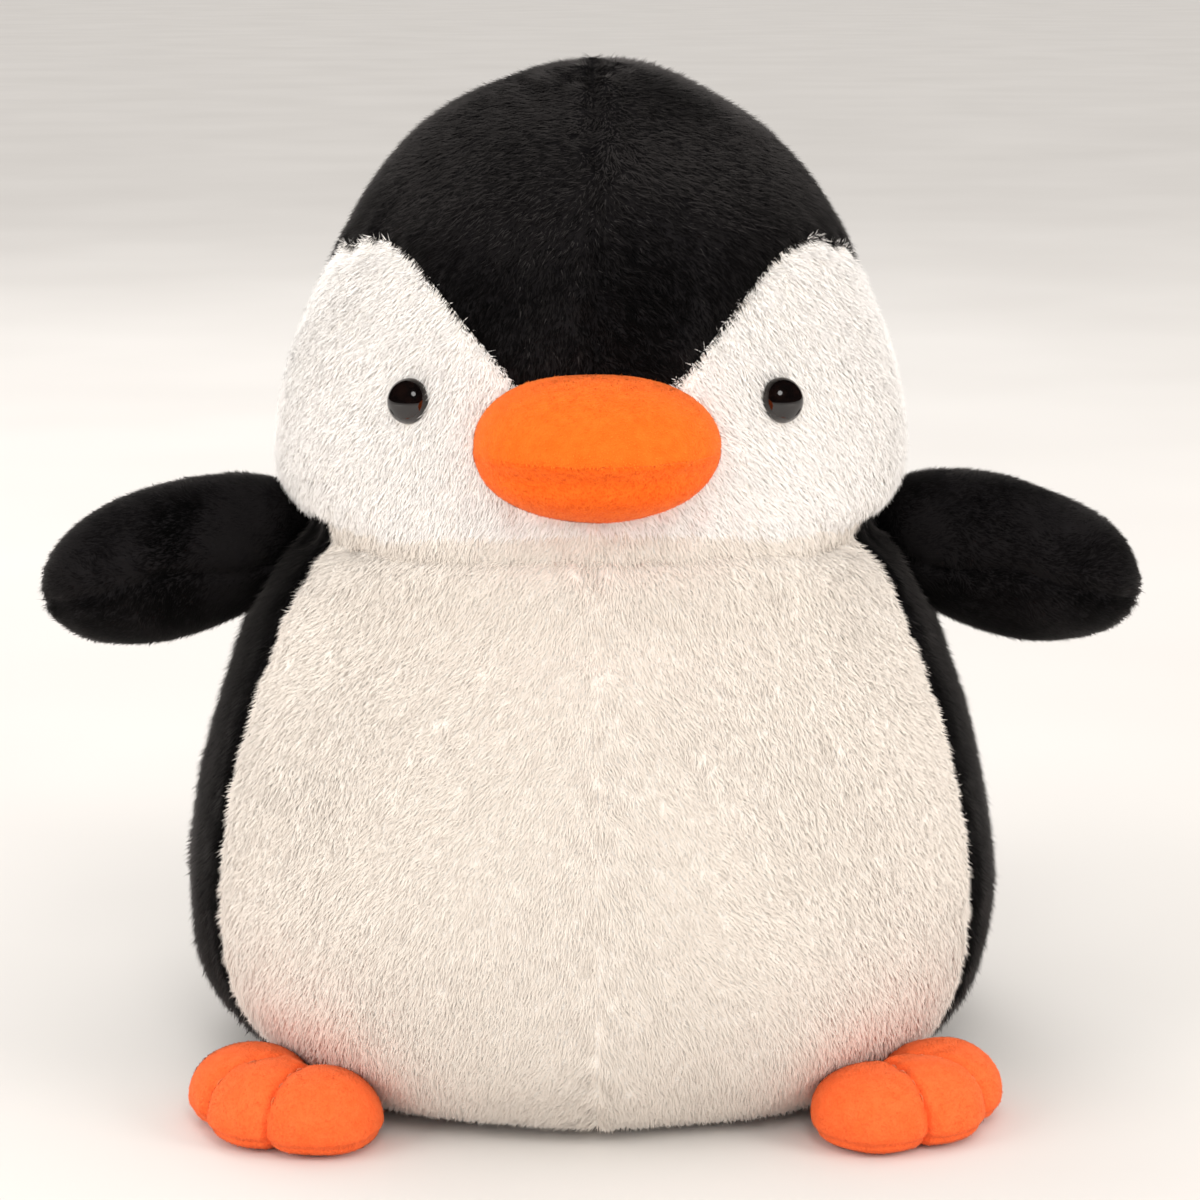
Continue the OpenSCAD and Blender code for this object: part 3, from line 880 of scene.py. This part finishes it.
def lathe(profile, origin, axis, turns=64):
    """A closed turned solid: profile is (radius, height) from one end of the axis to the other."""
    axis = unit(np.array(axis))
    aside = unit(np.cross(axis, UP))
    ahead = np.cross(axis, aside)
    angles = np.linspace(0, 2 * math.pi, turns + 1)[:-1]
    ring = np.cos(angles)[:, None] * aside + np.sin(angles)[:, None] * ahead
    inner = profile[1:-1]
    points = np.concatenate([origin + axis * h + ring * r for r, h in inner])
    points = np.vstack([points, origin + axis * profile[0][1], origin + axis * profile[-1][1]])
    return points, facing_out(points, capped_grid(len(inner), turns), origin)


def eye(word, side):
    """A safety eye: a domed button with a thin edge, and the shank that holds its washer."""
    place, way = eye_frame(side)
    dome = [(EYE_R * math.cos(a), EYE_DOME * math.sin(a)) for a in np.radians(np.linspace(0, 88, 30))]
    under = [(0, -SHANK_L), (SHANK_R * 0.7, -SHANK_L), (SHANK_R, -SHANK_L * 0.95), (SHANK_R, -0.8 * MM),
             (EYE_R - 0.9 * MM, -0.8 * MM), (EYE_R - 0.3 * MM, -0.6 * MM)]
    points, faces = lathe(under + dome + [(0, EYE_DOME)], place - way * EYE_SUNK, way)
    button = piece(f"eye_{word}_button", points, faces, EYE_BLACK, "eye_plastic")
    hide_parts(f"eye_{word}")
    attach(button, "torso")
    washer = frame["nodes"][f"eye_washer_{word}"].data.materials
    washer.clear()
    washer.append(WASHER)


for word, side in SIDES.items():
    eye(word, side)


# ---------- wings ----------

WING_AROUND = 144
WING_ALONG = 96
WING_PILE = 0.9 * MM
WING_SEAM_DROP = math.radians(28)  # at the root the seam lies this far below the wing's middle
WING_SEAM = (1.9 * MM, 2.6 * MM)  # depth and width of the groove over the seam


def wing_skin(side, around, inset, wrap):
    """Points and faces of the wing's cover at those angles round its length, inside its outline."""
    hinge, along, ahead, above = wing_axes(side)
    swing = np.linspace(0, math.pi, WING_ALONG + 1)[1:-1]
    a, t = np.meshgrid(around, swing)
    a, t = a.ravel(), t.ravel()
    u = WING_MIDDLE - np.cos(t) * np.where(np.cos(t) > 0, WING_IN, WING_OUT - inset)
    r = wing_radius(u)
    low = a - WING_SEAM_DROP * np.cos(a) * smoothstep(WING_MIDDLE, 0, u)
    ring = np.cos(low)[:, None] * ahead + np.sin(low)[:, None] * above
    p = hinge + u[:, None] * along + r[:, None] * ring
    seam = r * np.abs(np.arcsin(np.sin(a)))
    tip = smoothstep(WING_MIDDLE, WING_MIDDLE + WING_OUT, u)
    out = -inset - hollow(seam, *WING_SEAM) - hollow(seam, 1.2 * MM, 3.2 * MM) * tip ** 3
    out += 0.3 * MM * waves(p, 11 * MM, 17 + side) * hollow(seam, 1, 8 * MM)
    out += 0.4 * MM * waves(p, 48 * MM, 18 + side)
    p = p + np.maximum(out, 0.1 * MM - r)[:, None] * ring
    reach = np.array([WING_MIDDLE - WING_IN, WING_MIDDLE + WING_OUT - inset])
    points = np.vstack([p, hinge + reach[:, None] * along])
    faces = capped_grid(len(swing), len(around), wrap)
    return points, facing_out(points, faces, hinge + WING_MIDDLE * along)


def bend_with_wing(made):
    """The object stays where it is, with its placement baked into its points."""
    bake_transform(made)


def wing_pile(name, points, faces, side, up):
    """The wing's short pile, which lies towards its tip and stands up longest there."""
    hinge, along, _, _ = wing_axes(side)
    rng = np.random.default_rng(200 + 10 * up + side)
    roots, normals = scatter(points, faces, 3.0, rng)
    keep = outside_body(roots)
    roots, normals = roots[keep], normals[keep]
    ways = along + 0.3 * wave_vectors(roots, 28 * MM, 51 + side) + 0.2 * wave_vectors(roots, 7 * MM, 61)
    lift = PLUSH_LIFT + math.radians(5) * waves(roots, 22 * MM, 71)
    from_tip = np.linalg.norm(roots - hinge - (WING_MIDDLE + WING_OUT) * along, axis=1)
    length = 2.6 * MM * (1 + 0.9 * np.exp(-(from_tip / (7 * MM)) ** 2))
    # The upper panel's pile is painted lighter and the lower's darker, painted light and shade from light
    # falling from above; the waves add patches of painted sheen where the brushed pile would catch the
    # light.
    tone = 0.7 * waves(roots * (1, 1, 0.4), 26 * MM, 44) + 0.5 * up
    return pile(name, roots, normals, unit(along_surface(ways, normals)), length, 0.55 * MM, lift,
                SHORT_BLACK_PILE, rng, tone)


def wing_cover(word, side, half, up):
    around = np.linspace(0, math.pi, WING_AROUND // 2 + 1) * up
    points, faces = wing_skin(side, around, WING_PILE, wrap=False)
    panel = piece(f"wing_{half}_{word}", *shell(points, faces, SKIN), BLACK_CLOTH, "black_plush")
    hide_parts(f"wing_{half}_panel_{word}")
    bend_with_wing(panel)
    bend_with_wing(wing_pile(f"wing_{half}_{word}_pile", points, faces, side, up))


def wing_filling(word, side):
    around = np.linspace(-math.pi, math.pi, WING_AROUND + 1)[:-1]
    points, faces = wing_skin(side, around, WING_PILE + SKIN + 1.5 * MM, wrap=True)
    filling = piece(f"wing_filling_{word}", points, faces, FIBRE, "fibre_fill")
    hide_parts(f"wing_stuffing_{word}")
    bend_with_wing(filling)


for word, side in SIDES.items():
    wing_cover(word, side, "upper", 1)
    wing_cover(word, side, "lower", -1)
    wing_filling(word, side)


# ---------- feet ----------

FOOT_MIDDLE = np.array([8 * MM, 0, 9 * MM])
TOE_SKIN_R = TOE_R - 0.6 * MM  # the nap makes up the rest
TOE_SKIN_H = FOOT_H - 0.6 * MM - TOE_RIM_Z
TOE_SKIN_DEPTH = TOE_RIM_Z + 1 * MM
TOE_POWER = 2.3  # how square a toe is in plan
CREASE = (1.3 * MM, 1.1 * MM)  # depth and width of the groove between two toes
FOOT_SEAM = (0.8 * MM, 1.0 * MM)
FOOT_GROUND = 0.5 * MM  # the sole's backing above the ground, which the nap fills


def toe_reach(way, centre):
    """How far from the foot's middle, in each direction, the surface of one toe lies."""
    low, high = np.zeros(len(way)), np.full(len(way), 70 * MM)
    for _ in range(26):
        mid = (low + high) / 2
        q = FOOT_MIDDLE + way * mid[:, None]
        rho = np.hypot(q[:, 0] - centre[0], q[:, 1] - centre[1]) / TOE_SKIN_R
        rise = (q[:, 2] - TOE_RIM_Z) / TOE_SKIN_H
        fall = (TOE_RIM_Z - q[:, 2]) / TOE_SKIN_DEPTH
        upright = np.where(q[:, 2] > TOE_RIM_Z, np.abs(rise) ** 2.0, np.abs(fall) ** 2.6)
        level = rho ** TOE_POWER + upright
        low, high = np.where(level < 1, mid, low), np.where(level < 1, high, mid)
    return low


def foot_surface(inset=0.0):
    """The stuffed foot in its own frame, outward along +X: three toes that run together, on a flat sole."""
    columns, rows = 200, 110
    turn = np.linspace(-math.pi, math.pi, columns + 1)[:-1]
    away = np.linspace(0, math.pi, rows + 1)[1:-1]
    t, w = np.meshgrid(turn, away)
    t, w = np.append(t.ravel(), [0, 0]), np.append(w.ravel(), [0, math.pi])
    way = np.stack([np.sin(w) * np.cos(t), np.sin(w) * np.sin(t), np.cos(w)], -1)
    reach = np.stack([toe_reach(way, c) for c in TOES], -1)
    ordered = np.sort(reach, -1)
    far = ordered[:, -1]
    from_crease = far - ordered[:, -2]
    rough = FOOT_MIDDLE + way * far[:, None]
    far = far - hollow(from_crease, *CREASE) * smoothstep(-2 * MM, 10 * MM, rough[:, 0])
    far = far + 0.3 * MM * waves(rough, 9 * MM, 19) * hollow(from_crease, 1, 4 * MM)
    far = far + 0.3 * MM * waves(rough, 22 * MM, 20) - hollow(rough[:, 2] - FOOT_SEAM_Z, *FOOT_SEAM)
    drop = np.maximum(-way[:, 2], 1e-6)
    to_ground = (FOOT_MIDDLE[2] - FOOT_GROUND) / drop
    p = FOOT_MIDDLE + way * (np.minimum(far, to_ground) - inset)[:, None]
    return p, facing_out(p, capped_grid(rows - 1, columns), FOOT_MIDDLE)


def placed_foot(local, side):
    place, out, aside = foot_axes(side)
    return place + local[:, :1] * out + local[:, 1:2] * aside + local[:, 2:] * UP


def bend_with_foot(made):
    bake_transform(made)


def crease_line(neighbour, count=40):
    """The line over the foot's top where the middle toe meets its neighbour, a little inside the cloth."""
    middle = np.array(TOES[1])
    other = np.array(neighbour)
    towards = middle - other
    out = unit(np.array([abs(towards[1]), -towards[0] * np.sign(towards[1])]))
    reach = np.linspace(-1, 1, count)[:, None] * 15.5 * MM
    plan = (middle + other) / 2 + out * reach
    rho = np.linalg.norm(plan - middle, axis=1) / TOE_SKIN_R
    z = TOE_RIM_Z + TOE_SKIN_H * np.sqrt(np.maximum(1 - rho ** TOE_POWER, 0))
    return np.column_stack([plan, z - 0.9 * MM])[rho < 0.985]


def lift_from(points):
    """The outward direction of a thread: away from the toy's middle, and up."""
    return unit(points * (1, 1, 0) + 0.6 * np.linalg.norm(points[:, :2], axis=1)[:, None] * UP)


def stitches(name, line, count, gap, radius, material, slot):
    """Separate stitches along a line: each is a thread that rises out of the cloth and goes back in."""
    points, faces = [], []
    steps, sides = 9, 8
    lengths = np.concatenate([[0], np.cumsum(np.linalg.norm(np.diff(line, axis=0), axis=1))])
    turn = np.linspace(0, 2 * math.pi, sides + 1)[:-1]
    rise = 1.6 * np.sin(np.linspace(0, math.pi, steps)) - 1
    taper = np.sqrt(np.maximum(np.sin(np.linspace(0.12, math.pi - 0.12, steps)), 0))
    for i in range(count):
        share = (np.linspace(gap / 2, 1 - gap / 2, steps) + i) / count
        middle = np.stack([np.interp(share * lengths[-1], lengths, line[:, k]) for k in range(3)], -1)
        way = unit(np.gradient(middle, axis=0))
        lift = unit(np.cross(np.cross(way, lift_from(middle)), way))
        middle = middle + lift * (radius * rise)[:, None]
        across = np.cross(way, lift)
        start = len(points)
        for k in range(steps):
            ring = np.cos(turn)[:, None] * lift[k] + np.sin(turn)[:, None] * across[k]
            points += list(middle[k] + radius * taper[k] * ring)
        points += [middle[0], middle[-1]]
        faces += [tuple(start + v for v in f) for f in capped_grid(steps, sides)]
    return piece(name, np.array(points), faces, material, slot)


def foot_cover(name, node, word, side, points, faces, seed):
    """The top panel or the sole, with its nap."""
    middle = placed_foot(FOOT_MIDDLE[None], side)[0]
    points, faces = used_only(placed_foot(points, side), faces)
    faces = facing_out(points, faces, middle)
    panel = piece(f"{name}_{word}", *shell(points, faces, SKIN), FOOT_CLOTH, "orange_velboa")
    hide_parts(f"{node}_{word}")
    bend_with_foot(panel)
    nap = fuzz(f"{name}_{word}_nap", points, faces, FOOT_FUZZ, seed + side,
               shown=lambda p: (p[:, 2] > 1 * MM) & outside_body(p))
    bend_with_foot(nap)


def foot_filling(word, side):
    points, faces = foot_surface(SKIN + 1.5 * MM)
    points = placed_foot(points, side)
    faces = facing_out(points, faces, placed_foot(FOOT_MIDDLE[None], side)[0])
    filling = piece(f"foot_filling_{word}", points, faces, FIBRE, "fibre_fill")
    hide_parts(f"foot_stuffing_{word}")
    bend_with_foot(filling)


def toe_stitches(word, side, toe):
    line = placed_foot(crease_line(TOES[toe]), side)
    made = stitches(f"toe_stitches_{word}_{toe}", line, 6, 0.3, 0.35 * MM, ORANGE_THREAD, "orange_thread")
    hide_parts(f"toe_thread_{word}")
    bend_with_foot(made)


foot_points, foot_faces = foot_surface()
foot_points, upper_faces, sole_faces = split(foot_points, foot_faces, foot_points[:, 2] - FOOT_SEAM_Z)
for word, side in SIDES.items():
    foot_cover("foot", "foot_top_panel", word, side, foot_points, upper_faces, 300)
    foot_cover("sole", "foot_sole", word, side, foot_points, sole_faces, 310)
    foot_filling(word, side)
    toe_stitches(word, side, 0)
    toe_stitches(word, side, 2)


# ---------- closing seam ----------

CLOSING_Z = 70 * MM  # the lowest stitch
CLOSING_PITCH = 6 * MM
CLOSING_HALF = 2 * MM  # half a stitch's length
CLOSING_STITCHES = 9


def closing_stitch(i):
    """One of the hand-sewn stitches that close the back, across its centre seam."""
    steps = 9
    s = np.interp(CLOSING_Z + i * CLOSING_PITCH, OUTLINE[:, 1], ALONG)
    theta = math.pi - np.linspace(-CLOSING_HALF, CLOSING_HALF, steps) / HIP_R
    line = body_skin(theta, np.full(steps, s))
    made = stitches(f"closing_stitch_{i}", line, 1, 0.05, 0.45 * MM, BLACK_THREAD, "black_thread")
    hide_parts("closing_seam_thread")
    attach(made, "torso")


for i in range(CLOSING_STITCHES):
    closing_stitch(i)


# ---------- floor, lights and camera ----------

LIT_PLACE = Vector((0, 0, 0.18))
WARM_WHITE = (1.0, 0.985, 0.965)


def floor():
    material, shader = new_material("floor", 0.9)
    faint = noise(material, 3, 2)
    colour_between(material, shader, faint, 0.3, 0.7, (0.67, 0.64, 0.61), (0.71, 0.68, 0.65))
    bpy.ops.mesh.primitive_plane_add(size=60)
    plane = bpy.context.object
    plane.name = "floor"
    plane.data.materials.append(material)


def area_light(name, place, size, power, colour, mirrored=False):
    """A soft round light that faces the toy; mirrored is whether shiny things reflect it."""
    data = bpy.data.lights.new(name, "AREA")
    data.shape = "DISK"
    data.size = size
    data.energy = power
    data.color = colour
    light = bpy.data.objects.new(name, data)
    light.location = place
    way = LIT_PLACE - Vector(place)
    light.rotation_euler = way.to_track_quat("-Z", "Y").to_euler()
    light.visible_glossy = mirrored
    bpy.context.scene.collection.objects.link(light)


def studio():
    """Even light from all round, which shiny things don't mirror, and four soft lights."""
    world = bpy.data.worlds.new("studio")
    world.use_nodes = True
    background = world.node_tree.nodes["Background"]
    background.inputs["Color"].default_value = (*WARM_WHITE, 1)
    background.inputs["Strength"].default_value = 1.06
    bpy.context.scene.world = world
    world.cycles_visibility.glossy = False
    bpy.context.scene.view_settings.view_transform = "Standard"
    area_light("left", (-1.7, -1.0, 0.85), 1.4, 20, WARM_WHITE)
    area_light("right", (1.6, -1.0, 0.8), 0.85, 17, (1.0, 0.975, 0.945))
    area_light("top", (0.2, -1.4, 1.55), 0.7, 6, WARM_WHITE, mirrored=True)
    area_light("back", (-0.6, 1.6, 1.8), 1.6, 18, (1.0, 1.0, 1.0))


def camera():
    """The camera stands a little over a metre in front, above the toy, and looks down at it."""
    away, height = 1.0455, 0.363
    aside = 2.6 * MM
    tilt, turn = math.radians(11.7), math.radians(-0.9)
    data = bpy.data.cameras.new("camera")
    data.lens = 96.8
    data.sensor_width = 36
    made = bpy.data.objects.new("camera", data)
    made.location = (away * math.sin(turn) + aside, -away * math.cos(turn), height)
    made.rotation_euler = (math.pi / 2 - tilt, 0, turn)
    bpy.context.scene.collection.objects.link(made)
    bpy.context.scene.camera = made


floor()
studio()
camera()
